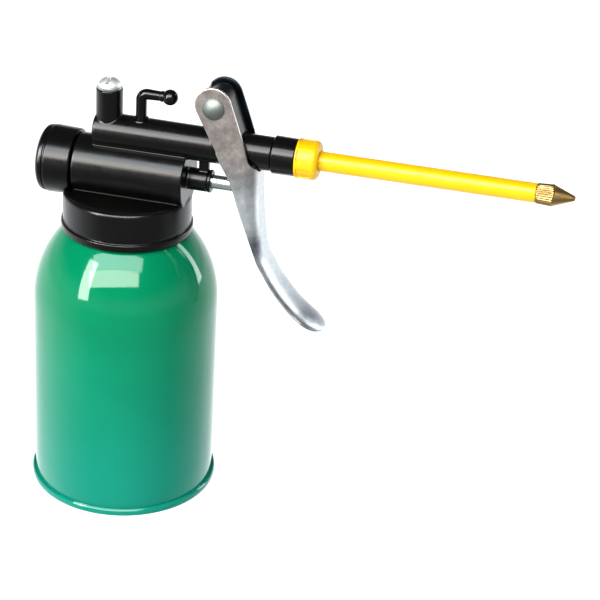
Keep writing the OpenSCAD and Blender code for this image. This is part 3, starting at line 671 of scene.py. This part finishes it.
def nozzle():
    flutes = 26

    def knurl(a, r, angle):
        if 139.7 < a < 144.6 and r > 3.1:
            wave = 0.5 + 0.5 * np.cos(angle * flutes)
            return r - 0.24 * (1 - wave ** 0.6)
        return np.full(len(angle), r)
    band = [(x, 3.36 + 0.3 * (x - 139.4) / 5.5) for x in np.linspace(139.75, 144.55, 8)]
    profile = ([(134.4, 0.9), (134.4, 1.85), (139.32, 1.85), (139.32, 3.1), (139.45, 3.3)] + band
               + [(144.8, 3.68), (144.92, 3.6), (145.3, 3.38, 0.3)]
               + [(x, 3.32 + (0.86 - 3.32) * (x - 145.45) / 6.3) for x in np.linspace(145.6, 151.6, 7)]
               + [(151.9, 0.74), (152.0, 0.62), (151.9, 0.6), (146.9, 0.6), (146.9, 0.9)])
    turned = lathe(profile, flutes * 10, "x", (0, 0, TUBE_Z), radius_of=knurl, closed=True)
    put("nozzle_tip", *turned, BRASS, "head", ["nozzle"], "nozzle_brass", True)


for build in (can, head, rear_cap, lever, rivet, screw, key, plunger, gland, spout, nozzle):
    build()


# ------------------------------------------------------------------ camera, floor and light
def camera():
    """Seen from the front right, looking down, with a slight roll, all in degrees."""
    aside, down, roll = 11.888, 27.754, 3.6
    data = bpy.data.cameras.new("camera")
    data.sensor_width = 36
    data.lens = 111.67
    data.clip_start, data.clip_end = 0.05, 60
    o = bpy.data.objects.new("camera", data)
    scene.collection.objects.link(o)
    turn = Matrix.Translation(Vector((180.530, -558.425, 381.108)) * MM)
    for angle, axis in ((aside, "Z"), (90 - down, "X"), (roll, "Z")):
        turn = turn @ Matrix.Rotation(math.radians(angle), 4, axis)
    o.matrix_world = turn
    scene.camera = o


def floor():
    """A pale sheet just under the can, left out of reflections, which light() supplies."""
    mesh = bpy.data.meshes.new("floor")
    s, z = 6.0, -0.0002
    mesh.from_pydata([(-s, -s, z), (s, -s, z), (s, s, z), (-s, s, z)], [], [(0, 1, 2, 3)])
    o = bpy.data.objects.new("floor", mesh)
    scene.collection.objects.link(o)
    m = new_material("pale_floor", Roughness=0.9, Base_Color=(0.3, 0.3, 0.3, 1),
                     Emission_Color=(1, 1, 1, 1), Emission_Strength=0.75)[0]
    o.visible_glossy = False
    mesh.materials.append(m)


def area(name, at, to, size, power, colour, size_y, roll=0):
    """A rectangular light at one point, aimed at another and rolled by degrees. Metres."""
    data = bpy.data.lights.new(name, "AREA")
    data.shape = "RECTANGLE"
    data.size = size
    data.size_y = size_y
    data.energy = power
    data.color = colour
    o = bpy.data.objects.new(name, data)
    scene.collection.objects.link(o)
    o.location = at
    o.rotation_mode = "QUATERNION"
    aim = (Vector(to) - Vector(at)).to_track_quat("-Z", "Y")
    o.rotation_quaternion = aim @ Quaternion((0, 0, 1), math.radians(roll))


def light():
    """A studio dark in front and bright behind, which fades out above, and four soft lights."""
    world = bpy.data.worlds.new("studio")
    scene.world = world
    world.use_nodes = True
    t = world.node_tree
    split = node(t, "ShaderNodeSeparateXYZ")
    t.links.new(node(t, "ShaderNodeTexCoord").outputs["Generated"], split.inputs[0])
    up = span(t, split.outputs["Z"], 0.1, 0.35, 1.0, 0.0)
    front = span(t, split.outputs["Z"], -0.1, 0.0, 0.22, 0.5)
    behind = span(t, split.outputs["Z"], -0.1, 0.0, 1.3, 0.85)
    side = node(t, "ShaderNodeMapRange")
    side.inputs["From Min"].default_value = -0.6
    side.inputs["From Max"].default_value = 0.4
    turned = node(t, "ShaderNodeMath", operation="MULTIPLY_ADD")
    t.links.new(split.outputs["X"], turned.inputs[0])
    turned.inputs[1].default_value = -0.5
    t.links.new(split.outputs["Y"], turned.inputs[2])
    t.links.new(turned.outputs[0], side.inputs["Value"])
    t.links.new(front, side.inputs["To Min"])
    t.links.new(behind, side.inputs["To Max"])
    both = node(t, "ShaderNodeMath", operation="MULTIPLY_ADD")
    t.links.new(up, both.inputs[0])
    t.links.new(side.outputs["Result"], both.inputs[1])
    both.inputs[2].default_value = 0.1
    t.nodes["Background"].inputs["Color"].default_value = (0.95, 0.98, 1, 1)
    t.links.new(both.outputs[0], t.nodes["Background"].inputs["Strength"])
    middle = (0.03, 0, 0.1)
    area("softbox", (-0.026, -1.076, 0.827), middle, 1.6, 22.5, (1, 0.97, 0.91), 0.42, 10)
    area("upper", (-0.011, -0.781, 1.138), middle, 1.6, 16.5, (0.88, 0.95, 1), 0.42, 10)
    area("window", (-0.745, -0.92, 0.59), middle, 0.32, 13, (1, 0.97, 0.92), 0.9, 8)
    area("side", (1.05, 0.75, 0.42), middle, 0.25, 4, (0.95, 0.98, 1), 0.8)


camera()
floor()
light()
scene.view_settings.view_transform = "Standard"
scene.view_settings.look = "Medium High Contrast"
